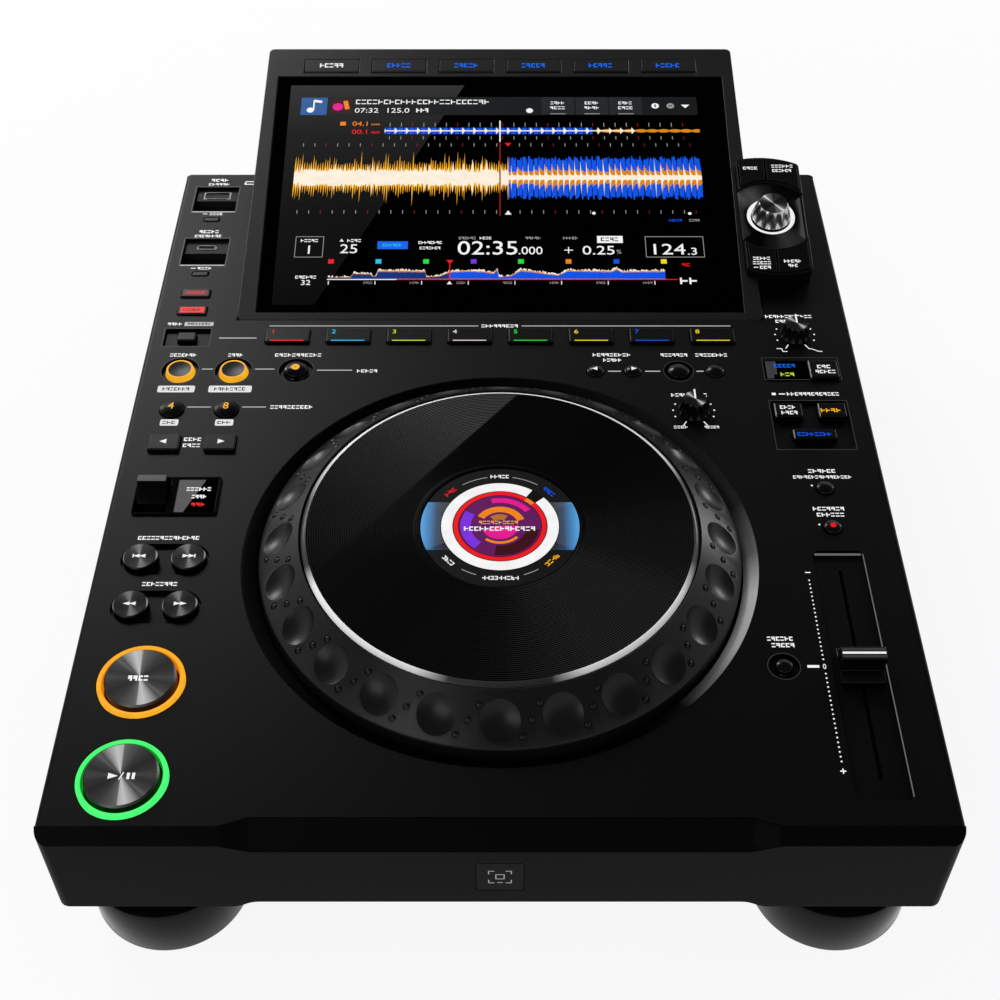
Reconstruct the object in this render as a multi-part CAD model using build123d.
from build123d import *

import math
import os

os.makedirs("parts", exist_ok=True)

# A tabletop deck for playing music: a flat housing on four feet with a jog wheel, a column of
# keys on each side of it and a display that slopes up behind them.
# Millimetres. +X is right, +Y is back, +Z is up, and the table is at zero.

# Overall housing
overall_depth = 470.0
bezel_depth = 5.5
body_depth = 394.3
side_column_width = 58.9
case_height = 47.0
case_wall = 2.5
case_lip = 1.0
lip_drop = 0.4
panel_thickness = 3.0
tray_depth = 1.6
seam = 0.2
body_corner = 3.0

# Front bezel
bezel_corner = 4.5
bezel_side_drop = 4.4
bezel_middle_drop = 8.4
bezel_middle_setback = 3.4
bezel_middle_half = 89.0
bezel_ramp = 11.0
bezel_arch = 3.5
bezel_tongue = 5.0
window_width = 17.2
window_height = 18.8
window_thickness = 1.5
window_rise = 21.5

# Feet
foot_height = 27.6
foot_radius = 31.2
foot_neck_height = 9.4
foot_neck_radius = 21.0
foot_edge = 1.2
foot_side_inset = 33.9
rear_foot_margin = 39.9
pad_radius = 26.0
pad_height = 3.0
pad_seat = 1.4

# Keys that rise through the top panel
key_gap = 0.3
key_edge = 0.5
key_corner = 0.8
flange_reach = 1.0
flange_thickness = 1.2
key_travel = 1.0

# Jog wheel
well_radius = 105.6
well_slope_width = 6.4
well_slope_drop = 5.0
well_wall_depth = 10.5
well_wall = 2.0
well_flange = 3.4
jog_front_margin = 24.1
ring_gap = 0.6
ring_edge_rise = 1.0
ring_crown_rise = 13.2
ring_cone_width = 15.1
ring_skirt = 8.0
ring_wall = 3.2
dimple_count = 24
dimple_radius = 7.75
dimple_depth = 1.8
plate_gap = 0.3
plate_travel = 0.5
plate_seat_depth = 2.2
plate_rise = 2.3
plate_bevel_width = 3.0
plate_bevel_drop = 1.4
web_thickness = 2.6
rib_count = 8
rib_height = 6.0
hub_wall = 5.0
hub_radius = 20.0
jog_window_radius = 32.7
jog_display_gap = 0.5
jog_display_drop = 0.4
jog_display_edge = 0.5
jog_display_neck = 7.0
spindle_radius = 12.0
spindle_bore = 8.0
spindle_flange_radius = 26.0
spindle_flange_height = 3.5
thrust_collar_radius = 17.5
thrust_collar_rise = 10.5
bearing_wall = 3.0
bearing_height = 10.0
running_fit = 0.05
press_fit = 0.02
encoder_radius = 60.0
encoder_thickness = 1.2
encoder_slots = 36
encoder_slot_length = 7.0
encoder_slot_width = 2.2

# Left column, from the front edge to the back
left_column_inset = 27.9
outer_key_inset = 17.9
key_pair_pitch = 24.4
play_setback = 19.7
cue_spacing = 43.6
search_spacing = 36.6
track_spacing = 25.1
lever_spacing = 35.3
jump_spacing = 31.6
loop_size_spacing = 22.0
loop_spacing = 26.1
recall_spacing = 23.1
slip_spacing = 19.0
quantize_spacing = 12.9
stop_spacing = 15.4
bay_spacing = 17.6
upper_bay_spacing = 43.8

lamp_ring_radius = 17.1
lamp_ring_width = 2.8
lamp_ring_rise = 1.8
transport_rise = 3.6
search_key_radius = 6.95
search_key_pitch = 19.6
search_key_rise = 2.2
search_tray_width = 36.1
search_tray_length = 16.8
jump_key_width = 13.6
jump_key_length = 10.0
loop_size_radius = 5.5
loop_key_radius = 6.55
loop_tray_radius = 8.45
loop_key_rise = 2.9
reloop_radius = 5.4
reloop_tray_radius = 7.9
reloop_offset = 53.1
dome_rise = 2.3
dome_crown = 1.5
flat_key_rise = 1.8
recall_tray_width = 21.3
recall_tray_length = 12.3
recall_key_width = 8.6
recall_key_length = 6.0
lit_key_width = 14.0
lit_key_length = 6.3
lit_key_rise = 0.9
stop_key_width = 8.0
stop_key_length = 3.5
stop_key_rise = 0.3

# Direction lever
lever_bezel_width = 36.1
lever_bezel_length = 21.8
lever_bezel_rise = 0.8
lever_bezel_lap = 0.9
lever_bezel_corner = 1.6
lever_body_depth = 16.0
lever_paddle_inset = 7.9
lever_paddle_width = 12.2
lever_paddle_height = 7.2
lever_paddle_top = 3.7
lever_paddle_reach = 11.6
lever_side_gap = 0.6
lever_stem_width = 8.0
lever_stem_thickness = 6.0
lever_pivot_depth = 10.0
lever_hub_radius = 4.0
lever_pin_radius = 1.5
lever_pin_length = 2.0
lever_window_width = 17.2
lever_window_depth = 0.5
lever_frame = 1.2

# Media bays
bay_width = 21.8
bay_length = 21.0
bay_depth = 12.0
bay_wall = 1.5
bay_flange = 1.4
bay_shelf = 9.8
bay_recess = 1.7
port_setback = 5.2
port_a_width = 13.2
port_a_height = 5.7
port_c_width = 9.2
port_c_height = 3.4
port_depth = 8.0
port_floor = 0.8
port_wall = 0.5
port_tongue = 1.8
port_stand = 0.3

# Right column
right_column_inset = 26.3
fader_setback = 70.2
fader_tray_width = 21.2
fader_tray_length = 119.0
fader_travel = 47.0
fader_stem_width = 1.0
fader_stem_length = 5.4
fader_slot_gap = 0.3
fader_tray_corner = 3.0
fader_cap_width = 17.1
fader_cap_length = 16.8
fader_cap_lift = 0.5
fader_cap_edge = 0.5
fader_foot_height = 1.5
fader_foot_slope = 0.6
fader_ridge_height = 9.2
fader_ridge_base = 6.6
fader_ridge_top = 5.8
fader_unit_width = 15.0
fader_unit_height = 10.0
fader_unit_end = 6.0
reset_key_offset = 29.2
reset_key_radius = 3.5
reset_tray_radius = 6.05
small_key_radius = 3.85
small_key_rise = 1.6
master_tempo_spacing = 72.3
range_spacing = 22.5
sync_spacing = 31.9
beat_sync_spacing = 15.3
mode_spacing = 27.2
speed_knob_spacing = 25.1
sync_tray_width = 34.0
sync_tray_length = 30.4
sync_key_width = 12.4
sync_key_length = 9.0
sync_key_pitch = 19.5
key_sync_width = 19.0
key_sync_length = 6.0
mode_tray_length = 14.1
mode_key_width = 13.4
mode_key_length = 12.0
mode_key_offset = 9.8
knob_base_radius = 7.0
knob_top_radius = 6.2
knob_height = 9.5
knob_lift = 0.6
knob_flutes = 12
shaft_radius = 3.0
pot_size = 12.0
pot_height = 7.0
adjust_knob_x = 86.5
adjust_knob_inset = 22.5

# Rows between the jog wheel and the display
memory_row_clear = 4.2
cue_row_spacing = 24.0
display_front_spacing = 12.1
hot_cue_width = 20.8
hot_cue_length = 10.0
hot_cue_pitch = 28.4
hot_cue_count = 8
hot_cue_rise = 1.4
call_key_radius = 4.1
call_key_pitch = 17.2
call_key_x = 43.7
delete_key_x = 81.8
delete_key_radius = 5.0
delete_tray_radius = 6.65
memory_key_x = 98.5
memory_key_radius = 4.35

# Display
display_tilt = 9.64
display_side_margin = 39.8
display_thickness = 20.2
display_wall = 2.5
display_corner = 3.0
display_sump_depth = 11.0
display_sump_length = 66.0
display_roof = 3.6
glass_thickness = 2.0
glass_front_border = 5.0
glass_back_border = 22.3
glass_side_border_front = 8.7
glass_side_border_back = 6.5
lcd_side_border = 7.6
lcd_end_border = 14.0
lcd_thickness = 5.5
back_cover_thickness = 2.4
display_key_count = 6
display_key_width = 28.7
display_key_length = 10.0
display_key_pitch = 36.1
display_key_back_border = 8.5
display_key_depth = 2.6
display_key_travel = 0.6

# Selector pod, measured up the display's slope and square to it
pod_width = 31.6
pod_side_inset = 5.3
pod_front = 27.8
pod_front_bow = 3.6
pod_back = 101.6
pod_back_bow = 1.6
pod_back_fall = 3.0
pod_rise = 5.0
pod_corner = 3.0
pod_roof = 4.0
pod_wall = 2.0
pod_rim = 1.0
pod_key_depth = 2.4
pod_key_thickness = 1.7
pod_key_rise = 0.3
pod_key_travel = 0.5
pod_key_split = 1.0
dish_centre = 63.4
dish_shift = 1.3
dish_radius = 22.3
dish_depth = 1.2
selector_ring_radius = 11.8
selector_ring_width = 1.9
selector_ring_rise = 0.4
selector_base_radius = 9.6
selector_top_radius = 7.2
selector_height = 10.0
selector_flutes = 12
selector_travel = 0.8
selector_clearance = 0.4
encoder_body_size = 14.0
encoder_body_height = 6.0

# Rear sockets, from the body's sides
socket_rise = 22.0
jack_radius = 4.15
jack_length = 8.5
jack_collar = 1.0
jack_bore = 1.6
jack_base_width = 13.0
jack_base_height = 14.0
jack_base_depth = 9.0
jack_pitch = 16.0
last_jack_inset = 20.5
network_inset = 104.5
network_width = 12.0
network_height = 8.6
network_depth = 12.0
data_inset = 78.5
data_width = 8.5
data_height = 7.8
data_tongue_width = 5.6
data_tongue_height = 3.2
socket_wall = 2.0
inlet_inset = 44.5
inlet_width = 24.4
inlet_height = 16.8
inlet_depth = 15.0
inlet_wall = 2.0
inlet_flange = 3.0
inlet_flange_thickness = 2.0
blade_width = 2.0
blade_height = 4.0
blade_length = 10.0
blade_pitch = 7.0
blade_offset = 2.0
power_key_inset = 80.5
power_key_width = 12.0
power_key_height = 7.0
power_key_rise = 2.5
power_key_travel = 2.0
lock_slot_inset = 14.5
lock_slot_width = 7.0
lock_slot_height = 3.0

# Boards inside the case
board_thickness = 1.6
board_post_height = 6.5
board_post_radius = 3.5
board_side_margin = 25.0
board_front_margin = 30.0
board_length = 240.0
board_hole_gap = 4.0
board_post_margin = 8.0
encoder_lift = 5.0
fork_width = 16.0
fork_length = 8.0
fork_rise = 4.0
fork_gap = 0.8
processor_size = 28.0
memory_size = 22.0
chip_height = 2.4
header_width = 46.0
header_length = 8.0
header_height = 6.0
supply_side_margin = 13.0
supply_rear_margin = 35.9
supply_width = 88.0
supply_length = 74.0
supply_post_height = 4.0
supply_post_radius = 3.0
supply_post_margin = 5.0
transformer_size = 32.0
transformer_height = 16.0
transformer_margin = 10.0
capacitor_radius = 8.0
capacitor_height = 15.0
capacitor_margin = 6.0
sink_margin = 16.0
sink_length = 46.0
sink_wall = 3.0
sink_height = 15.0
fin_reach = 11.0
fin_thickness = 1.6
fin_count = 6
corner_post_inset = 8.0
rear_post_inset = 66.1

# Places that follow from the sizes above
half_width = well_radius + side_column_width
bezel_face_y = -overall_depth / 2
body_front_y = bezel_face_y + bezel_depth
body_rear_y = body_front_y + body_depth
display_rear_y = overall_depth / 2
case_floor_z = foot_height + foot_neck_height
case_inside_z = case_floor_z + case_wall
panel_top_z = case_floor_z + case_height
panel_under_z = panel_top_z - panel_thickness
tray_floor_z = panel_top_z - tray_depth
flange_z = panel_under_z - flange_thickness
lip_top_z = panel_top_z - lip_drop

jog_y = body_front_y + jog_front_margin + well_radius
memory_row_y = jog_y + well_radius + memory_row_clear
cue_row_y = memory_row_y + cue_row_spacing
display_front_y = cue_row_y + display_front_spacing

left_x = left_column_inset - half_width
outer_key_x = outer_key_inset - half_width
inner_key_x = outer_key_x + key_pair_pitch
play_y = body_front_y + play_setback
cue_y = play_y + cue_spacing
search_y = cue_y + search_spacing
track_y = search_y + track_spacing
lever_y = track_y + lever_spacing
jump_y = lever_y + jump_spacing
loop_size_y = jump_y + loop_size_spacing
loop_y = loop_size_y + loop_spacing
recall_y = loop_y + recall_spacing
slip_y = recall_y + slip_spacing
quantize_y = slip_y + quantize_spacing
lower_stop_y = quantize_y + stop_spacing
lower_bay_y = lower_stop_y + bay_spacing
upper_bay_y = lower_bay_y + upper_bay_spacing
upper_stop_y = upper_bay_y - bay_spacing + seam

right_x = half_width - right_column_inset
fader_y = body_front_y + fader_setback
master_tempo_y = fader_y + master_tempo_spacing
range_y = master_tempo_y + range_spacing
key_sync_y = range_y + sync_spacing
beat_sync_y = key_sync_y + beat_sync_spacing
mode_y = beat_sync_y + mode_spacing
speed_knob_y = mode_y + speed_knob_spacing
adjust_knob_y = jog_y + well_radius - adjust_knob_inset
sync_tray_y = (key_sync_y + beat_sync_y) / 2

display_half = half_width - display_side_margin
slope_rise = math.tan(math.radians(display_tilt))
slope_length = (display_rear_y - display_front_y) / math.cos(math.radians(display_tilt))
slope = Location((0, display_front_y, panel_top_z), (display_tilt, 0, 0))

ring_outer = well_radius - well_slope_width - ring_gap - 0.2
ring_inner = ring_outer - ring_cone_width
ring_edge_z = panel_top_z + ring_edge_rise
ring_crown_z = panel_top_z + ring_crown_rise
web_top_z = ring_crown_z - plate_seat_depth
plate_under_z = web_top_z + plate_travel + 0.1
plate_top_z = ring_crown_z + plate_rise
collar_top_z = case_inside_z + thrust_collar_rise


def block(x0, x1, y0, y1, z0, z1):
    return Pos((x0 + x1) / 2, (y0 + y1) / 2, (z0 + z1) / 2) * Box(x1 - x0, y1 - y0, z1 - z0)


def centred_block(x, y, width, length, z0, z1):
    return block(x - width / 2, x + width / 2, y - length / 2, y + length / 2, z0, z1)


def post(x, y, radius, z0, z1):
    return Pos(x, y, (z0 + z1) / 2) * Cylinder(radius, z1 - z0)


def plate(outline, z0, z1):
    return extrude(Pos(0, 0, z0) * outline, z1 - z0)


def turned(points, x=0.0, y=0.0):
    # Turns (radius, height) points about the vertical through x, y
    return Pos(x, y) * revolve(Plane.XZ * make_face(Polyline(*points, close=True)), Axis.Z)


def side_prism(points, x0, x1):
    # Extrudes a side view, given as (y, z) points, from x0 to x1
    return extrude(Plane.YZ.offset(x0) * make_face(Polyline(*points, close=True)), x1 - x0)


class Round:
    # The round outline of a key or its tray
    def __init__(self, x, y, radius):
        self.x = x
        self.y = y
        self.radius = radius

    def outline(self, grow=0.0):
        return Pos(self.x, self.y) * Circle(self.radius + grow)


class Oblong:
    # The oblong outline of a key or its tray
    def __init__(self, x, y, width, length, corner=key_corner):
        self.x = x
        self.y = y
        self.width = width
        self.length = length
        self.corner = min(corner, min(width, length) / 2 - 0.01)

    def outline(self, grow=0.0):
        width = self.width + 2 * grow
        length = self.length + 2 * grow
        return Pos(self.x, self.y) * RectangleRounded(width, length, self.corner + grow)


panel_holes = []
panel_trays = []


def flange(control):
    # The rim under the panel that keeps a key from coming out
    return plate(control.outline(flange_reach), flange_z, panel_under_z)


def flat_key(control, rise):
    panel_holes.append(control.outline(key_gap))
    cap = plate(control.outline(), panel_under_z, panel_top_z + rise)
    cap = chamfer(cap.faces().sort_by(Axis.Z)[-1].edges(), key_edge)
    return cap + flange(control)


def dome_key(control, rise, crown):
    # A round key with a crowned top
    panel_holes.append(control.outline(key_gap))
    radius = control.radius
    top_z = panel_top_z + rise
    sphere = (radius**2 + crown**2) / (2 * crown)
    half_angle = math.asin(radius / sphere) / 2
    middle = (sphere * math.sin(half_angle), top_z - sphere + sphere * math.cos(half_angle))
    wall = Polyline((0, top_z), (0, panel_under_z), (radius, panel_under_z), (radius, top_z - crown))
    cap = make_face(wall + ThreePointArc((radius, top_z - crown), middle, (0, top_z)))
    return Pos(control.x, control.y) * revolve(Plane.XZ * cap, Axis.Z) + flange(control)


def dished_key(control, rise):
    # A round key that tapers to a rim around a shallow dish
    panel_holes.append(control.outline(key_gap))
    radius = control.radius
    top_z = panel_top_z + rise
    rim = radius - 1.0
    cap = [(0, panel_under_z), (radius, panel_under_z), (radius, tray_floor_z), (rim, top_z)]
    cap += [(rim - 1.0, top_z), (0, top_z - 0.6)]
    return turned(cap, control.x, control.y) + flange(control)


def fluted_knob(base_radius, top_radius, height, flutes):
    # A tapered knob with finger flutes, standing on the origin
    edge = 0.6
    profile = [(0, 0), (base_radius, 0), (base_radius, 1.0), (top_radius, height - edge)]
    profile += [(top_radius - edge, height), (0, height)]
    flute_radius = math.pi * base_radius / flutes / 2
    flute = Pos(base_radius + flute_radius * 0.3, 0, 1.0) * extrude(Circle(flute_radius), height)
    return turned(profile) - [Rot(0, 0, turn * 360 / flutes) * flute for turn in range(flutes)]


nodes = {}


# Jog wheel

def cone_drop(radius):
    # How far the ring's cone has fallen from its crown at a radius
    return (radius - ring_inner) * (ring_crown_rise - ring_edge_rise) / ring_cone_width


def jog_ring():
    # One moulding: a dimpled cone and skirt outside, a ribbed web and a hub inside
    cone_angle = math.atan2(ring_crown_rise - ring_edge_rise, ring_cone_width)
    wall_drop = ring_wall / math.cos(cone_angle)
    web_under_z = web_top_z - web_thickness
    skirt_inner = ring_outer - ring_wall
    under_radius = ring_inner + (ring_crown_z - wall_drop - web_under_z) / math.tan(cone_angle)
    hub_under_z = collar_top_z + seam
    bore = spindle_radius + bearing_wall + running_fit
    profile = [
        (bore, hub_under_z),
        (hub_radius, hub_under_z),
        (hub_radius, web_under_z),
        (under_radius, web_under_z),
        (skirt_inner, ring_crown_z - cone_drop(skirt_inner) - wall_drop),
        (skirt_inner, ring_edge_z - ring_skirt),
        (ring_outer, ring_edge_z - ring_skirt),
        (ring_outer, ring_edge_z),
        (ring_inner, ring_crown_z),
        (ring_inner, web_top_z),
        (bore, web_top_z),
    ]
    ring = turned(profile)
    rib = block(hub_radius - 0.5, under_radius, -1.2, 1.2, web_under_z - rib_height, web_under_z)
    ring += [Rot(0, 0, turn * 360 / rib_count) * rib for turn in range(rib_count)]
    sphere = (dimple_radius**2 + dimple_depth**2) / (2 * dimple_depth)
    lift = sphere - dimple_depth
    middle = (ring_inner + ring_outer) / 2
    centre_z = ring_crown_z - cone_drop(middle) + lift * math.cos(cone_angle)
    dimple = Pos(middle + lift * math.sin(cone_angle), 0, centre_z) * Sphere(sphere)
    turns = [Rot(0, 0, turn * 360 / dimple_count - 90) for turn in range(dimple_count)]
    return Pos(0, jog_y) * (ring - [turn * dimple for turn in turns])


def jog_plate():
    # The touch plate, which sinks a little under the hand
    outer = ring_inner - plate_gap
    profile = [
        (jog_window_radius, plate_under_z),
        (outer, plate_under_z),
        (outer, plate_top_z - plate_bevel_drop),
        (outer - plate_bevel_width, plate_top_z),
        (jog_window_radius, plate_top_z),
    ]
    return turned(profile, 0, jog_y)


def jog_well_ring():
    # The glossy slope from the panel down to the jog ring's skirt
    outer = well_radius - seam
    inner = well_radius - well_slope_width
    wall_foot_z = panel_top_z - well_wall_depth
    profile = [
        (outer, panel_top_z),
        (inner, panel_top_z - well_slope_drop),
        (inner, wall_foot_z),
        (inner + well_wall, wall_foot_z),
        (inner + well_wall, panel_under_z - well_wall),
        (well_radius + well_flange, panel_under_z - well_wall),
        (well_radius + well_flange, panel_under_z),
        (outer, panel_under_z),
    ]
    panel_holes.append(Pos(0, jog_y) * Circle(well_radius))
    return turned(profile, 0, jog_y)


def jog_spindle():
    # The fixed hollow post that carries the wheel and its display
    flange_top_z = case_inside_z + spindle_flange_height
    profile = [
        (spindle_bore, case_inside_z),
        (spindle_flange_radius, case_inside_z),
        (spindle_flange_radius, flange_top_z),
        (thrust_collar_radius, flange_top_z),
        (thrust_collar_radius, collar_top_z),
        (spindle_radius, collar_top_z),
        (spindle_radius, plate_under_z),
        (spindle_bore, plate_under_z),
    ]
    return turned(profile, 0, jog_y)


def jog_bearings():
    # Two plain bearings between the spindle and the wheel's hub
    inner = spindle_radius + press_fit
    outer = spindle_radius + bearing_wall
    lower_z = collar_top_z + seam
    upper_z = web_top_z - bearing_height - seam
    rings = []
    for z in (lower_z, upper_z):
        top_z = z + bearing_height
        rings.append(turned([(inner, z), (outer, z), (outer, top_z), (inner, top_z)], 0, jog_y))
    return Compound(children=rings)


def jog_display():
    # The round display in the middle of the wheel, which doesn't turn
    radius = jog_window_radius - jog_display_gap
    neck = spindle_bore - seam
    top_z = plate_top_z - jog_display_drop
    profile = [
        (0, plate_under_z - jog_display_neck),
        (neck, plate_under_z - jog_display_neck),
        (neck, plate_under_z),
        (radius, plate_under_z),
        (radius, top_z - jog_display_edge),
        (radius - jog_display_edge, top_z),
        (0, top_z),
    ]
    return turned(profile, 0, jog_y)


def encoder_disc():
    # The slotted disc on the hub that the wheel's sensor reads
    disc_z = collar_top_z + encoder_lift
    disc = Circle(encoder_radius) - Circle(hub_radius + press_fit)
    slot_middle = encoder_radius - 2.0 - encoder_slot_length / 2
    slot = Pos(slot_middle, 0) * Rectangle(encoder_slot_length, encoder_slot_width)
    slots = [Rot(0, 0, turn * 360 / encoder_slots) * slot for turn in range(encoder_slots)]
    return Pos(0, jog_y) * plate(disc - slots, disc_z, disc_z + encoder_thickness)


nodes["jog_ring"] = jog_ring()
nodes["jog_plate"] = jog_plate()
nodes["jog_well_ring"] = jog_well_ring()
nodes["jog_spindle"] = jog_spindle()
nodes["jog_bearings"] = jog_bearings()
nodes["jog_display"] = jog_display()
nodes["encoder_disc"] = encoder_disc()


# Cue and play keys, each in its own lamp ring

def lamp_ring(y):
    # A light guide that stands in a counterbore and reaches down round its key
    inner = lamp_ring_radius - lamp_ring_width
    skirt = inner + 1.2
    top_z = panel_top_z + lamp_ring_rise
    panel_trays.append(Pos(left_x, y) * Circle(lamp_ring_radius + seam))
    panel_holes.append(Pos(left_x, y) * Circle(skirt + seam))
    profile = [
        (inner, panel_under_z - 0.6),
        (skirt, panel_under_z - 0.6),
        (skirt, tray_floor_z),
        (lamp_ring_radius, tray_floor_z),
        (lamp_ring_radius, top_z - 0.8),
        (lamp_ring_radius - 0.8, top_z),
        (inner + 0.8, top_z),
        (inner, top_z - 0.8),
    ]
    return turned(profile, left_x, y)


def transport_key(y):
    radius = lamp_ring_radius - lamp_ring_width - key_gap - 0.1
    under_z = panel_under_z - 0.6
    top_z = panel_top_z + transport_rise
    profile = [
        (0, under_z - flange_thickness),
        (radius + 1.0, under_z - flange_thickness),
        (radius + 1.0, under_z),
        (radius, under_z),
        (radius, top_z - 0.7),
        (radius - 0.7, top_z),
        (0, top_z),
    ]
    return turned(profile, left_x, y)


nodes["cue_button"] = transport_key(cue_y)
nodes["play_button"] = transport_key(play_y)


# Track and search keys, two to a pill-shaped tray

for row, y in (("track", track_y), ("search", search_y)):
    tray = Oblong(left_x, y, search_tray_width, search_tray_length, search_tray_length / 2)
    panel_trays.append(tray.outline())
    for way, side in (("back", -1), ("next", 1)):
        control = Round(left_x + side * search_key_pitch / 2, y, search_key_radius)
        nodes[f"{row}_{way}_button"] = flat_key(control, search_key_rise)


# Loop keys

for name, x in (("loop_in_button", outer_key_x), ("loop_out_button", inner_key_x)):
    panel_trays.append(Round(x, loop_y, loop_tray_radius).outline())
    nodes[name] = dished_key(Round(x, loop_y, loop_key_radius), loop_key_rise)

reloop_x = outer_key_x + reloop_offset
panel_trays.append(Round(reloop_x, loop_y, reloop_tray_radius).outline())
nodes["reloop_button"] = dome_key(Round(reloop_x, loop_y, reloop_radius), dome_rise, dome_crown)

beat_keys = []
for x in (outer_key_x, inner_key_x):
    beat_keys.append(dome_key(Round(x, loop_size_y, loop_size_radius), dome_rise, dome_crown))
    jump_key = Oblong(x, jump_y, jump_key_width, jump_key_length)
    beat_keys.append(flat_key(jump_key, flat_key_rise))
nodes["beat_keys"] = Compound(children=beat_keys)


# The small keys along the left edge

def left_column_keys():
    keys = []
    for y in (lower_stop_y, upper_stop_y):
        keys.append(flat_key(Oblong(outer_key_x, y, stop_key_width, stop_key_length), stop_key_rise))
    for y in (slip_y, quantize_y):
        keys.append(flat_key(Oblong(outer_key_x, y, lit_key_width, lit_key_length), lit_key_rise))
    tray = Oblong(outer_key_x, recall_y, recall_tray_width, recall_tray_length)
    panel_trays.append(tray.outline())
    keys.append(flat_key(Oblong(outer_key_x, recall_y, recall_key_width, recall_key_length), lit_key_rise))
    return Compound(children=keys)


nodes["left_column_keys"] = left_column_keys()


# Direction lever in its bezel

lever_paddle_x = left_x - lever_bezel_width / 2 + lever_paddle_inset
lever_pivot_z = panel_top_z - lever_pivot_depth


def lever_bezel():
    # A framed block with a well for the lever on the left and a label window on the right
    outer = Oblong(left_x, lever_y, lever_bezel_width, lever_bezel_length, lever_bezel_corner)
    body = outer.outline(-lever_bezel_lap)
    panel_holes.append(outer.outline(seam - lever_bezel_lap))
    top_z = panel_top_z + lever_bezel_rise
    foot_z = panel_top_z - lever_body_depth
    shelf_z = lever_pivot_z + lever_hub_radius + 2.0
    shape = plate(outer.outline(), panel_top_z, top_z) + plate(body, foot_z, panel_top_z)
    well_width = lever_paddle_width + 2 * lever_side_gap
    well_length = lever_bezel_length - 2 * lever_frame
    well = centred_block(lever_paddle_x, lever_y, well_width, well_length, shelf_z, top_z)
    throat_width = lever_stem_width + 2 * lever_side_gap
    throat = centred_block(lever_paddle_x, lever_y, throat_width, well_length - 2, foot_z, shelf_z)
    window_x = left_x + lever_bezel_width / 2 - lever_frame - lever_window_width / 2
    window_z = top_z - lever_window_depth
    window = centred_block(window_x, lever_y, lever_window_width, well_length, window_z, top_z)
    pin_length = lever_stem_width + 2 * lever_pin_length + 2 * seam
    pin_hole = Pos(lever_paddle_x, lever_y, lever_pivot_z) * Rot(0, 90, 0)
    pin_hole *= Cylinder(lever_pin_radius + running_fit, pin_length)
    return shape - [well, throat, window, pin_hole]


def direction_lever():
    # A wedge-shaped paddle on a narrow stem that rocks on two stub pins
    front = lever_y - lever_paddle_reach / 2 + 1.0
    back = front + lever_paddle_reach
    foot_z = panel_top_z - 1.6
    top_z = panel_top_z + lever_paddle_height
    paddle = [(front, foot_z), (back, foot_z), (back, panel_top_z), (back - 0.9, top_z)]
    paddle += [(back - 0.9 - lever_paddle_top, top_z), (front, panel_top_z + 0.6)]
    half = lever_paddle_width / 2
    shape = side_prism(paddle, lever_paddle_x - half, lever_paddle_x + half)
    axis = Pos(lever_paddle_x, lever_y, lever_pivot_z) * Rot(0, 90, 0)
    stem_length = lever_stem_thickness
    shape += centred_block(lever_paddle_x, lever_y, lever_stem_width, stem_length, lever_pivot_z, foot_z)
    shape += axis * Cylinder(lever_hub_radius, lever_stem_width)
    shape += axis * Cylinder(lever_pin_radius, lever_stem_width + 2 * lever_pin_length)
    return shape


nodes["lever_bezel"] = lever_bezel()
nodes["direction_lever"] = direction_lever()


# Media bays: tubs under the panel, each with a port that faces up from a shelf at its back

def bay_shapes(y, port_width, port_height):
    x = outer_key_x
    floor_z = panel_under_z - bay_depth + panel_thickness
    panel_holes.append(Pos(x, y) * Rectangle(bay_width, bay_length))
    tub_width = bay_width + 2 * bay_wall
    tub_length = bay_length + 2 * bay_wall
    tub = centred_block(x, y, tub_width, tub_length, floor_z - bay_wall, panel_under_z)
    rim_width = tub_width + 2 * bay_flange
    rim_length = tub_length + 2 * bay_flange
    tub += centred_block(x, y, rim_width, rim_length, panel_under_z - bay_wall, panel_under_z)
    tub -= centred_block(x, y, bay_width, bay_length, floor_z, panel_under_z)
    back = y + bay_length / 2
    front = back - bay_shelf
    shelf_top_z = panel_top_z - bay_recess
    half = bay_width / 2
    tub += block(x - half, x + half, front, back, floor_z, panel_under_z)
    half -= seam
    tub += block(x - half, x + half, front, back - seam, panel_under_z, shelf_top_z)
    seat = Pos(x, back - port_setback, shelf_top_z)
    corner = min(port_height / 2 - 0.01, 1.6)
    shell = RectangleRounded(port_width, port_height, corner)
    mouth = offset(shell, -port_wall)
    tub -= seat * plate(shell, -port_depth, 1.0)
    port = plate(shell, -port_depth, port_stand) - plate(mouth, port_floor - port_depth, port_stand)
    tongue = Rectangle(port_width - 3.0, min(port_tongue, port_height / 4))
    port += plate(tongue, -port_depth, port_stand - 0.6)
    return tub, seat * port


lower_tub, port_c = bay_shapes(lower_bay_y, port_c_width, port_c_height)
upper_tub, port_a = bay_shapes(upper_bay_y, port_a_width, port_a_height)
nodes["usb_bays"] = Compound(children=[lower_tub, upper_tub])
nodes["usb_ports"] = Compound(children=[port_c, port_a])


# Hot cue keys and the small keys in front of them

for number in range(hot_cue_count):
    x = (number - (hot_cue_count - 1) / 2) * hot_cue_pitch
    control = Oblong(x, cue_row_y, hot_cue_width, hot_cue_length)
    nodes[f"hot_cue_{number + 1}"] = flat_key(control, hot_cue_rise)


def memory_keys():
    keys = []
    for x in (call_key_x, call_key_x + call_key_pitch):
        keys.append(dome_key(Round(x, memory_row_y, call_key_radius), dome_rise - 0.6, dome_crown))
    panel_trays.append(Round(delete_key_x, memory_row_y, delete_tray_radius).outline())
    for x, radius in ((delete_key_x, delete_key_radius), (memory_key_x, memory_key_radius)):
        keys.append(dome_key(Round(x, memory_row_y, radius), dome_rise - 0.6, dome_crown))
    return Compound(children=keys)


nodes["memory_keys"] = memory_keys()


# Right column

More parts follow.
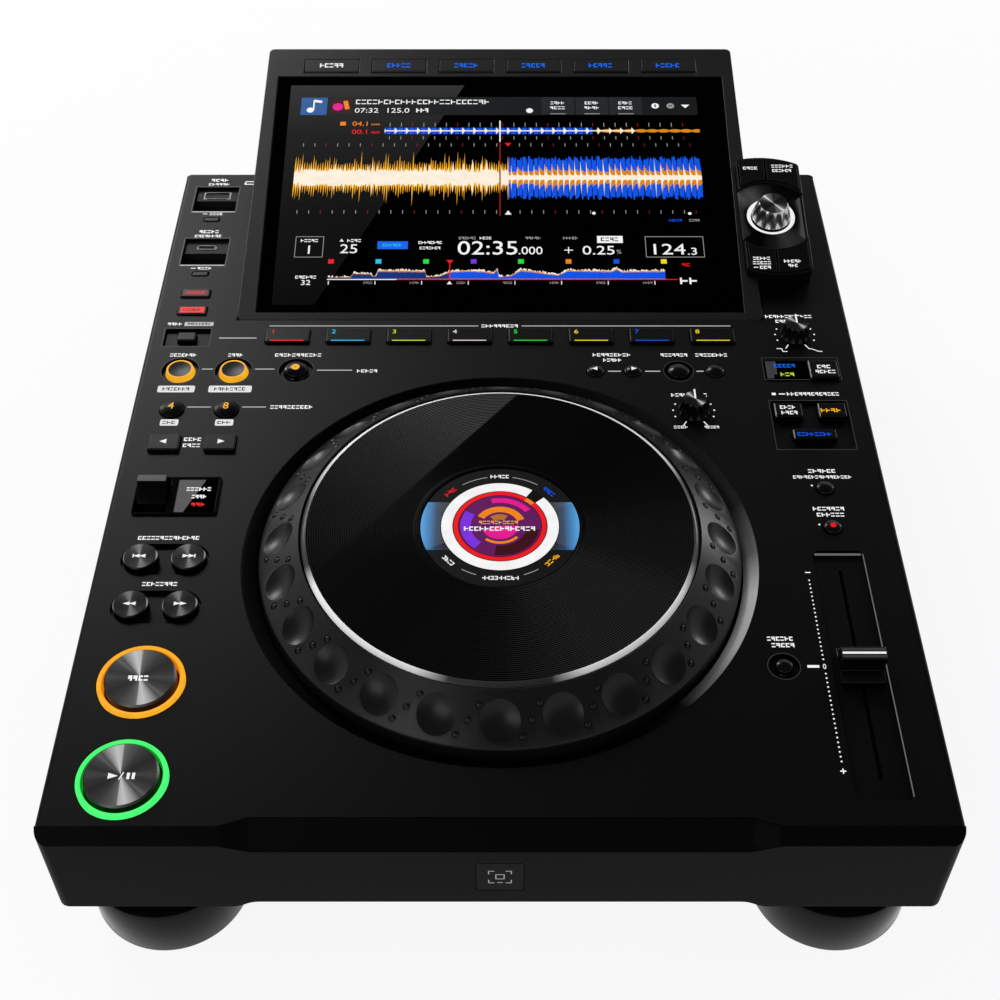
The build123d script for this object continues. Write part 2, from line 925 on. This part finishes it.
def right_column_keys():
    # The jog mode key, and the three keys of the sync tray
    panel_trays.append(Oblong(right_x, mode_y, sync_tray_width, mode_tray_length).outline())
    tray = Oblong(right_x, sync_tray_y, sync_tray_width, sync_tray_length, 3.0)
    panel_trays.append(tray.outline())
    keys = [Oblong(right_x + mode_key_offset, mode_y, mode_key_width, mode_key_length)]
    for side in (-1, 1):
        x = right_x + side * sync_key_pitch / 2
        keys.append(Oblong(x, beat_sync_y, sync_key_width, sync_key_length))
    keys.append(Oblong(right_x, key_sync_y, key_sync_width, key_sync_length))
    return Compound(children=[flat_key(key, flat_key_rise) for key in keys])


def tempo_buttons():
    # Tempo range, master tempo and tempo reset
    reset = Round(right_x - reset_key_offset, fader_y, reset_key_radius)
    panel_trays.append(Round(reset.x, reset.y, reset_tray_radius).outline())
    keys = [Round(right_x, range_y, small_key_radius), Round(right_x, master_tempo_y, small_key_radius)]
    return Compound(children=[dome_key(key, small_key_rise, 1.0) for key in keys + [reset]])


def fader_cap():
    # A cap with a tall grip ridge between two low feet, on the slider's stem
    end = fader_cap_length / 2
    edge = fader_cap_edge
    base_z = tray_floor_z + fader_cap_lift
    foot_z = panel_top_z + fader_foot_height
    top_z = panel_top_z + fader_ridge_height
    ridge = fader_ridge_top / 2
    side = [(end, base_z), (end, foot_z - edge), (end - edge, foot_z)]
    side += [(fader_ridge_base / 2, foot_z + fader_foot_slope), (ridge, top_z - edge), (ridge - edge, top_z)]
    mirrored = [(-y, z) for y, z in reversed(side)]
    profile = [(fader_y + y, z) for y, z in side + mirrored]
    cap = side_prism(profile, right_x - fader_cap_width / 2, right_x + fader_cap_width / 2)
    stem_z = panel_under_z - fader_unit_height + 2.0
    return cap + centred_block(right_x, fader_y, fader_stem_width, fader_stem_length, stem_z, base_z + 1.0)


slot_width = fader_stem_width + 2 * fader_slot_gap
slot_length = 2 * fader_travel + fader_stem_length + 2 * fader_slot_gap


def fader_unit():
    # The slide potentiometer's channel, screwed to the panel from below
    length = slot_length + 2 * fader_unit_end
    foot_z = panel_under_z - fader_unit_height
    body = centred_block(right_x, fader_y, fader_unit_width, length, foot_z, panel_under_z)
    channel = centred_block(right_x, fader_y, slot_width, slot_length, foot_z + 1.4, panel_under_z)
    fader_tray = Oblong(right_x, fader_y, fader_tray_width, fader_tray_length, fader_tray_corner)
    panel_trays.append(fader_tray.outline())
    panel_holes.append(Pos(right_x, fader_y) * Rectangle(slot_width, slot_length))
    return body - channel


def rotary_knob(x, y):
    # A knob and its shaft, which turns in a potentiometer under the panel
    panel_holes.append(Pos(x, y) * Circle(shaft_radius + key_gap))
    base_z = panel_top_z + knob_lift
    knob = Pos(x, y, base_z) * fluted_knob(knob_base_radius, knob_top_radius, knob_height, knob_flutes)
    return knob + post(x, y, shaft_radius, panel_under_z - pot_height, base_z + 1.0)


def potentiometer(x, y):
    body = centred_block(x, y, pot_size, pot_size, panel_under_z - pot_height, panel_under_z)
    return body - post(x, y, shaft_radius + running_fit, panel_under_z - pot_height, panel_under_z)


nodes["right_column_keys"] = right_column_keys()
nodes["tempo_buttons"] = tempo_buttons()
nodes["fader_cap"] = fader_cap()
nodes["speed_knob"] = rotary_knob(right_x, speed_knob_y)
nodes["adjust_knob"] = rotary_knob(adjust_knob_x, adjust_knob_y)


# Display

def surface_z(y, drop=0.0):
    # Height of the display's face at y, or of a surface that lies square below it by drop
    return panel_top_z + (y - display_front_y) * slope_rise - drop / math.cos(math.radians(display_tilt))


def underside_z(y):
    return panel_top_z + (y - display_front_y) * slope_rise - display_thickness


overhang_y = display_front_y + display_thickness / slope_rise
sump_z = panel_top_z - display_sump_depth
sump_rear_y = display_front_y + display_sump_length
glass_back = slope_length - glass_back_border


def slope_box(x0, x1, up0, up1, z0, z1):
    return slope * block(x0, x1, up0, up1, z0, z1)


def glass_outline(grow=0.0):
    # The glass is a little wider at the back than at the front
    front = display_half - glass_side_border_front + grow
    back = display_half - glass_side_border_back + grow
    up0 = glass_front_border - grow
    up1 = glass_back + grow
    return make_face(Polyline((-front, up0), (front, up0), (back, up1), (-back, up1), close=True))


lcd_half = display_half - glass_side_border_front - lcd_side_border
lcd_front = glass_front_border + lcd_end_border
lcd_back = glass_back - lcd_end_border
display_key_back = slope_length - display_key_back_border
display_key_xs = [(n - (display_key_count - 1) / 2) * display_key_pitch for n in range(display_key_count)]


def pod_outline():
    # Straight sides between two bowed ends
    x0 = display_half - pod_side_inset
    x1 = x0 + pod_width
    shoulder = pod_back - pod_back_fall
    front = ThreePointArc((x0, pod_front), ((x0 + x1) / 2, pod_front - pod_front_bow), (x1, pod_front))
    back = ThreePointArc((x1, shoulder), ((x0 + x1) / 2, pod_back + pod_back_bow), (x0, pod_back))
    sides = [Line((x1, pod_front), (x1, shoulder)), Line((x0, pod_back), (x0, pod_front))]
    outline = make_face([front, sides[0], back, sides[1]])
    return fillet(outline.vertices(), pod_corner)


above_panel = block(0, half_width * 2, display_front_y, display_rear_y * 2, panel_top_z, panel_top_z * 2)
pod_space = (slope * plate(pod_outline(), -display_thickness * 2, pod_rise)) & above_panel
dish_x = display_half - pod_side_inset + pod_width / 2 - dish_shift


def display_frame():
    # The housing of the display: a wedge on the panel, with a sump in front for its depth
    front = display_front_y
    rear = display_rear_y
    body = [
        (front, sump_z),
        (sump_rear_y, sump_z),
        (sump_rear_y, panel_top_z),
        (overhang_y, panel_top_z),
        (rear, underside_z(rear)),
        (rear, surface_z(rear)),
        (front, panel_top_z),
    ]
    shape = side_prism(body, -display_half, display_half)
    length = rear - front
    plan = Pos(0, (front + rear) / 2) * RectangleRounded(2 * display_half, length, display_corner)
    shape &= plate(plan, sump_z, panel_top_z * 2)
    inner_half = display_half - display_wall
    inner_front = front + display_wall
    inner_rear = rear - display_wall
    sump_inner = sump_rear_y - display_wall
    hollow = [
        (inner_front, sump_z + display_wall),
        (sump_inner, sump_z + display_wall),
        (sump_inner, panel_top_z),
        (overhang_y, panel_top_z),
        (inner_rear, underside_z(inner_rear)),
        (inner_rear, surface_z(inner_rear, display_roof)),
        (inner_front, surface_z(inner_front, display_roof)),
    ]
    cuts = [side_prism(hollow, -inner_half, inner_half)]
    cuts.append(slope * plate(glass_outline(seam), -glass_thickness, glass_thickness))
    cuts.append(slope_box(-lcd_half - 1, lcd_half + 1, lcd_front - 1, lcd_back + 1, -display_roof - 1, 0))
    for x in display_key_xs:
        half = display_key_width / 2 + key_gap
        front_edge = display_key_back - display_key_length - 0.8
        back_edge = display_key_back + 0.1
        cuts.append(slope_box(x - half, x + half, front_edge, back_edge, -display_roof - 1, 1))
    cuts.append(pod_space)
    return shape - cuts


def display_back_cover():
    # The plate that closes the overhang from below and rests on the panel's back edge
    lap_y = body_rear_y - 4.0
    rear = display_rear_y - display_wall - seam
    low = [(lap_y, panel_top_z), (overhang_y, panel_top_z), (rear, underside_z(rear))]
    high = [(y, z + back_cover_thickness) for y, z in reversed(low)]
    half = display_half - display_wall - seam
    return side_prism(low + high, -half, half)


def display_keys():
    keys = []
    for x in display_key_xs:
        half = display_key_width / 2
        front_edge = display_key_back - display_key_length
        key = block(x - half, x + half, front_edge, display_key_back, -display_key_depth, 0)
        front_edges = key.edges().filter_by(Axis.Z).group_by(Axis.Y)[0]
        keys.append(slope * fillet(front_edges, 1.2))
    return Compound(children=keys)


nodes["display_frame"] = display_frame()
nodes["display_back_cover"] = display_back_cover()
nodes["display_glass"] = slope * plate(glass_outline(), -glass_thickness, 0)
lcd_top = -glass_thickness
nodes["lcd_panel"] = slope_box(-lcd_half, lcd_half, lcd_front, lcd_back, lcd_top - lcd_thickness, lcd_top)
nodes["display_keys"] = display_keys()
panel_holes.append(
    Pos(0, (display_front_y + sump_rear_y) / 2)
    * Rectangle(2 * (display_half + seam), display_sump_length + 2 * seam)
)


# Selector pod on the right of the display

dish_floor = pod_rise - dish_depth
shaft_top = pod_rise + selector_height - 3.0
pod_key_outline = offset(pod_outline(), -pod_rim)


def selector_pod():
    # A hollow block with key pockets at each end and a round dish between them
    shape = pod_space
    inside = plate(offset(pod_outline(), -pod_wall), -display_thickness * 2, pod_rise - pod_roof)
    pockets = pod_key_outline - Pos(dish_x, dish_centre) * Circle(dish_radius + pod_rim)
    dish = post(dish_x, dish_centre, dish_radius, dish_floor, pod_rise + 1)
    ring_radius = selector_ring_radius + seam
    ring_seat = post(dish_x, dish_centre, ring_radius, dish_floor - 1.0, dish_floor)
    hole = post(dish_x, dish_centre, shaft_radius + key_gap, 0, pod_rise)
    cuts = [inside, plate(pockets, pod_rise - pod_key_depth, pod_rise), dish, ring_seat, hole]
    return shape - [slope * cut for cut in cuts]


def pod_keys():
    # Two keys behind the dish and two in front of it
    outline = offset(pod_key_outline, -key_gap)
    outline -= Pos(dish_x, dish_centre) * Circle(dish_radius + pod_rim + key_gap)
    outline -= Pos(dish_x, dish_centre) * Rectangle(pod_key_split, 2.5 * pod_back)
    base = pod_rise + pod_key_rise - pod_key_thickness
    return slope * plate(outline, base, pod_rise + pod_key_rise)


def selector_plunger():
    # The shaft of the selector's switch, which sinks when the knob is pressed
    foot = pod_rise - pod_roof - encoder_body_height + 0.5
    return slope * post(dish_x, dish_centre, shaft_radius, foot, shaft_top)


def selector_knob():
    base = dish_floor + selector_travel + selector_clearance
    knob = fluted_knob(selector_base_radius, selector_top_radius, selector_height, selector_flutes)
    knob = Pos(dish_x, dish_centre, base) * knob
    knob -= post(dish_x, dish_centre, shaft_radius + running_fit, base, shaft_top + seam)
    return slope * knob


def selector_switch():
    top = pod_rise - pod_roof
    foot = top - encoder_body_height
    body = centred_block(dish_x, dish_centre, encoder_body_size, encoder_body_size, foot, top)
    return slope * (body - post(dish_x, dish_centre, shaft_radius + running_fit, foot, top))


def selector_lamp():
    outer = selector_ring_radius
    inner = outer - selector_ring_width
    low = dish_floor - 1.0
    high = dish_floor + selector_ring_rise
    ring = turned([(inner, low), (outer, low), (outer, high), (inner, high)], dish_x, dish_centre)
    return slope * ring


nodes["selector_pod"] = selector_pod()
nodes["pod_keys"] = pod_keys()
nodes["selector_plunger"] = selector_plunger()
nodes["selector_knob"] = selector_knob()
nodes["lamp_rings"] = Compound(children=[lamp_ring(cue_y), lamp_ring(play_y), selector_lamp()])
nodes["pots_and_fader"] = Compound(
    children=[
        fader_unit(),
        potentiometer(right_x, speed_knob_y),
        potentiometer(adjust_knob_x, adjust_knob_y),
        selector_switch(),
    ]
)


# Front bezel

tongue_y = body_front_y + bezel_middle_setback
ramp_x = bezel_middle_half + bezel_ramp


def tongue_outline(grow=0.0):
    # The stretch in the middle where the bezel reaches back into the panel
    back = tongue_y + grow
    points = [(-ramp_x - grow, body_front_y), (ramp_x + grow, body_front_y)]
    points += [(bezel_middle_half + grow, back), (-bezel_middle_half - grow, back)]
    return make_face(Polyline(*points, close=True))


def bezel_bottom(side):
    # The S-shaped step of the lower edge, as two arcs that meet level ends
    outside = (side * ramp_x, case_floor_z)
    middle = (side * (ramp_x - bezel_ramp / 2), case_floor_z + bezel_arch / 2)
    inside = (side * bezel_middle_half, case_floor_z + bezel_arch)
    lower = TangentArc(outside, middle, tangent=(-side, 0))
    upper = TangentArc(inside, middle, tangent=(side, 0))
    return lower + upper


def front_bezel():
    top_z = panel_top_z
    middle_z = case_floor_z + bezel_arch
    frame = Polyline(
        (-ramp_x, case_floor_z),
        (-half_width, case_floor_z),
        (-half_width, top_z),
        (half_width, top_z),
        (half_width, case_floor_z),
        (ramp_x, case_floor_z),
    )
    arch = Line((-bezel_middle_half, middle_z), (bezel_middle_half, middle_z))
    front = make_face(frame + bezel_bottom(-1) + bezel_bottom(1) + arch)
    shape = extrude(Plane.XZ.offset(-body_front_y) * front, bezel_depth)
    plan = Pos(0, bezel_face_y + body_depth / 2) * RectangleRounded(2 * half_width, body_depth, bezel_corner)
    shape &= plate(plan, case_floor_z, top_z)
    shape += plate(tongue_outline(), top_z - bezel_tongue, top_z)
    side_cut = [(body_front_y, top_z), (bezel_face_y, top_z), (bezel_face_y, top_z - bezel_side_drop)]
    middle_cut = [(tongue_y, top_z), (bezel_face_y, top_z), (bezel_face_y, top_z - bezel_middle_drop)]
    shape -= side_prism(side_cut, -half_width - 1, half_width + 1)
    shape -= side_prism(middle_cut, -bezel_middle_half, bezel_middle_half)
    for side in (-1, 1):
        narrow = Plane.YZ.offset(side * ramp_x) * make_face(Polyline(*side_cut, close=True))
        wide = Plane.YZ.offset(side * bezel_middle_half) * make_face(Polyline(*middle_cut, close=True))
        shape -= loft([narrow, wide], ruled=True)
    return shape - front_window(seam)


def front_window(grow=0.0):
    z = case_floor_z + window_rise
    outline = RectangleRounded(window_width + 2 * grow, window_height + 2 * grow, 1.2 + grow)
    face = Plane.XZ.offset(-bezel_face_y - window_thickness) * Pos(0, z) * outline
    return extrude(face, window_thickness)


nodes["front_bezel"] = front_bezel()
nodes["front_window"] = front_window()


# Case

def body_plan(inset, rear_inset):
    width = 2 * (half_width - inset)
    front = body_front_y
    rear = body_rear_y - rear_inset
    corner = body_corner
    square = Pos(0, (front + rear) / 2) * Rectangle(width, rear - front)
    return fillet(square.vertices().group_by(Axis.Y)[-1], corner)


def top_panel():
    inset = case_lip + seam
    outline = body_plan(inset, inset) - tongue_outline(seam)
    floor_z = panel_under_z
    shape = plate(outline - panel_holes, floor_z, panel_top_z)
    return shape - [plate(tray, tray_floor_z, panel_top_z) for tray in panel_trays]


def corner_posts(z0, z1, radius):
    side = half_width - case_wall - corner_post_inset
    front = body_front_y + case_wall + corner_post_inset
    rear = body_rear_y - case_wall - corner_post_inset
    rear_side = half_width - rear_post_inset
    places = [(-side, front), (side, front), (-rear_side, rear), (rear_side, rear)]
    return [post(x, y, radius, z0, z1) for x, y in places]


def board_posts():
    x = half_width - board_side_margin - board_post_margin
    front = body_front_y + board_front_margin + board_post_margin
    rear = front + board_length - 2 * board_post_margin
    z1 = case_inside_z + board_post_height
    return [post(side * x, y, board_post_radius, case_inside_z, z1) for side in (-1, 1) for y in (front, rear)]


def lower_case():
    # A tub with a floor, a front and two sides; the rear panel closes it
    rear = body_rear_y - case_wall
    outer = block(-half_width, half_width, body_front_y, rear, case_floor_z, lip_top_z)
    side_edges = outer.edges().filter_by(Axis.Y)
    outer = chamfer(side_edges, case_lip * 0.7)
    inner_half = half_width - case_wall
    inner_front = body_front_y + case_wall
    inside = block(-inner_half, inner_half, inner_front, rear, case_inside_z, lip_top_z)
    seat_half = half_width - case_lip
    seat = block(-seat_half, seat_half, body_front_y, rear, panel_under_z, lip_top_z)
    tongue_room = block(-ramp_x - 1, ramp_x + 1, body_front_y, inner_front, panel_top_z - bezel_tongue - seam, lip_top_z)
    shape = outer - [inside, seat, tongue_room]
    return shape + corner_posts(case_floor_z + 1, panel_under_z, board_post_radius) + board_posts()


def rear_panel():
    # The plate with the sockets' holes; its thin upper edge covers the top panel's edge
    rear = body_rear_y
    front = rear - case_wall
    shape = plate(body_plan(0, 0), case_floor_z, lip_top_z)
    shape &= block(-half_width, half_width, front, rear, case_floor_z, lip_top_z)
    seat_half = half_width - case_lip
    shape -= block(-seat_half, seat_half, front, rear - case_lip, panel_under_z, lip_top_z)
    return shape - [through_wall(outline) for outline in wall_outlines()]


socket_z = case_floor_z + socket_rise
wall_front_y = body_rear_y - case_wall
network_x = half_width - network_inset
data_x = half_width - data_inset
inlet_x = inlet_inset - half_width
power_key_x = power_key_inset - half_width
lock_slot_x = lock_slot_inset - half_width
jack_xs = [half_width - last_jack_inset - number * jack_pitch for number in range(3)]


def through_wall(outline):
    return extrude(Plane.XZ.offset(-body_rear_y) * outline, case_wall)


def wall_prism(outline, y0, y1):
    # Extrudes a rear view, given in x and z, from y0 back to y1
    return extrude(Plane.XZ.offset(-y1) * outline, y1 - y0)


def wall_outlines():
    outlines = [Pos(x, socket_z) * Circle(jack_radius + jack_collar + key_gap) for x in jack_xs]
    outlines.append(Pos(network_x, socket_z) * Rectangle(network_width, network_height))
    outlines.append(Pos(data_x, socket_z) * Rectangle(data_width, data_height))
    inlet_body = Rectangle(inlet_width + 2 * inlet_wall + 2 * seam, inlet_height + 2 * inlet_wall + 2 * seam)
    outlines.append(Pos(inlet_x, socket_z) * inlet_body)
    power_hole = Rectangle(power_key_width + 2 * key_gap, power_key_height + 2 * key_gap)
    outlines.append(Pos(power_key_x, socket_z) * power_hole)
    outlines.append(Pos(lock_slot_x, socket_z) * Rectangle(lock_slot_width, lock_slot_height))
    return outlines


def rca_jacks():
    jacks = []
    for x in jack_xs:
        base = Pos(x, socket_z) * Rectangle(jack_base_width, jack_base_height)
        jack = wall_prism(base, wall_front_y - jack_base_depth, wall_front_y)
        collar = Pos(x, socket_z) * Circle(jack_radius + jack_collar)
        barrel = Pos(x, socket_z) * Circle(jack_radius)
        jack += wall_prism(collar, wall_front_y, body_rear_y)
        jack += wall_prism(barrel, body_rear_y, body_rear_y + jack_length)
        bore = Pos(x, socket_z) * Circle(jack_bore)
        jacks.append(jack - wall_prism(bore, body_rear_y, body_rear_y + jack_length))
    return Compound(children=jacks)


def data_sockets():
    # A network socket and a computer socket behind the rear panel
    sockets = []
    for x, width, height in ((network_x, network_width, network_height), (data_x, data_width, data_height)):
        outer = Pos(x, socket_z) * Rectangle(width + 2 * socket_wall, height + 2 * socket_wall)
        mouth = Pos(x, socket_z) * Rectangle(width, height)
        back = wall_front_y - network_depth
        shell = wall_prism(outer, back - socket_wall, wall_front_y)
        sockets.append(shell - wall_prism(mouth, back, wall_front_y))
    tongue = Pos(data_x, socket_z) * Rectangle(data_tongue_width, data_tongue_height)
    sockets[1] += wall_prism(tongue, wall_front_y - network_depth, wall_front_y - 1.0)
    return Compound(children=sockets)


def ac_inlet():
    # A three-blade power inlet with a flange outside the rear panel
    width = inlet_width + 2 * inlet_wall
    height = inlet_height + 2 * inlet_wall
    outer = Pos(inlet_x, socket_z) * Rectangle(width, height)
    mouth = Pos(inlet_x, socket_z) * Rectangle(inlet_width, inlet_height)
    lip = Pos(inlet_x, socket_z) * RectangleRounded(width + 2 * inlet_flange, height + 2 * inlet_flange, 2.0)
    face_y = body_rear_y + inlet_flange_thickness
    back = face_y - inlet_depth
    shape = wall_prism(outer, back - inlet_wall, body_rear_y) + wall_prism(lip, body_rear_y, face_y)
    shape -= wall_prism(mouth, back, face_y)
    for step in (-1, 0, 1):
        rise = blade_offset if step == 0 else -blade_offset
        blade = Pos(inlet_x + step * blade_pitch, socket_z + rise) * Rectangle(blade_width, blade_height)
        shape += wall_prism(blade, back, back + blade_length)
    return shape


def power_button():
    outline = Pos(power_key_x, socket_z) * RectangleRounded(power_key_width, power_key_height, 1.0)
    rim = Rectangle(power_key_width + 2 * flange_reach, power_key_height + 2 * flange_reach)
    shape = wall_prism(outline, wall_front_y, body_rear_y + power_key_rise)
    return shape + wall_prism(Pos(power_key_x, socket_z) * rim, wall_front_y - flange_thickness, wall_front_y)


nodes["rca_jacks"] = rca_jacks()
nodes["data_sockets"] = data_sockets()
nodes["ac_inlet"] = ac_inlet()
nodes["power_button"] = power_button()
nodes["rear_panel"] = rear_panel()
nodes["lower_case"] = lower_case()
nodes["top_panel"] = top_panel()


# Feet

foot_x = half_width - foot_side_inset
front_foot_y = bezel_face_y + foot_radius + seam
rear_foot_y = body_rear_y - rear_foot_margin


def foot_shell(x, y):
    # A turned cap on a neck, hollowed underneath for its pad
    pad_top_z = pad_height
    profile = [
        (0, pad_top_z),
        (pad_radius + seam, pad_top_z),
        (pad_radius + seam, pad_seat),
        (foot_radius, pad_seat),
        (foot_radius, foot_height - foot_edge),
        (foot_radius - foot_edge, foot_height),
        (foot_neck_radius, foot_height),
        (foot_neck_radius, case_floor_z),
        (0, case_floor_z),
    ]
    return turned(profile, x, y)


foot_places = [(x, y) for x in (-foot_x, foot_x) for y in (front_foot_y, rear_foot_y)]
nodes["foot_shells"] = Compound(children=[foot_shell(x, y) for x, y in foot_places])
nodes["foot_pads"] = Compound(children=[post(x, y, pad_radius, 0, pad_height) for x, y in foot_places])


# Boards

def main_board():
    # The board on the case floor, with a hole for the spindle and a forked sensor for the disc
    half = half_width - board_side_margin
    front = body_front_y + board_front_margin
    low = case_inside_z + board_post_height
    high = low + board_thickness
    board = block(-half, half, front, front + board_length, low, high)
    board -= post(0, jog_y, spindle_flange_radius + board_hole_gap, low, high)
    disc_z = collar_top_z + encoder_lift
    disc_top_z = disc_z + encoder_thickness
    sensor_x = encoder_radius - encoder_slot_length / 2
    board += centred_block(sensor_x, jog_y, fork_width, fork_length, high, disc_top_z + fork_rise)
    reach = encoder_radius + fork_gap
    board -= centred_block(0, jog_y, 2 * reach, 2 * fork_length, disc_z - fork_gap, disc_top_z + fork_gap)
    chip_x = encoder_radius + processor_size
    rear = front + board_length
    chip_top_z = high + chip_height
    board += centred_block(-chip_x, rear - processor_size, processor_size, processor_size, high, chip_top_z)
    board += centred_block(chip_x, rear - processor_size, memory_size, memory_size, high, chip_top_z)
    header_y = rear - header_length
    return board + centred_block(0, header_y, header_width, header_length, high, high + header_height)


def power_supply():
    # A board with a transformer, a capacitor and a finned heat sink
    x0 = supply_side_margin - half_width
    y1 = body_rear_y - supply_rear_margin
    x1 = x0 + supply_width
    y0 = y1 - supply_length
    low = case_inside_z + supply_post_height
    high = low + board_thickness
    shape = block(x0, x1, y0, y1, low, high)
    for x in (x0 + supply_post_margin, x1 - supply_post_margin):
        for y in (y0 + supply_post_margin, y1 - supply_post_margin):
            shape += post(x, y, supply_post_radius, case_inside_z, low)
    core_x = x0 + transformer_margin
    core_y = y0 + transformer_margin
    core_top_z = high + transformer_height
    shape += block(core_x, core_x + transformer_size, core_y, core_y + transformer_size, high, core_top_z)
    can_x = core_x + transformer_size / 2
    can_y = y1 - capacitor_margin - capacitor_radius
    shape += post(can_x, can_y, capacitor_radius, high, high + capacitor_height)
    sink_x = x1 - sink_margin - sink_wall
    sink_y = (y0 + y1 - sink_length) / 2
    sink_top_z = high + sink_height
    shape += block(sink_x, sink_x + sink_wall, sink_y, sink_y + sink_length, high, sink_top_z)
    fin_pitch = (sink_length - fin_thickness) / (fin_count - 1)
    for fin in range(fin_count):
        y = sink_y + fin * fin_pitch
        shape += block(sink_x - fin_reach, sink_x, y, y + fin_thickness, high, sink_top_z)
    return shape


nodes["main_board"] = main_board()
nodes["power_supply"] = power_supply()

for name, shape in nodes.items():
    export_step(shape, f"parts/{name}.step")
print(len(nodes), "parts written")
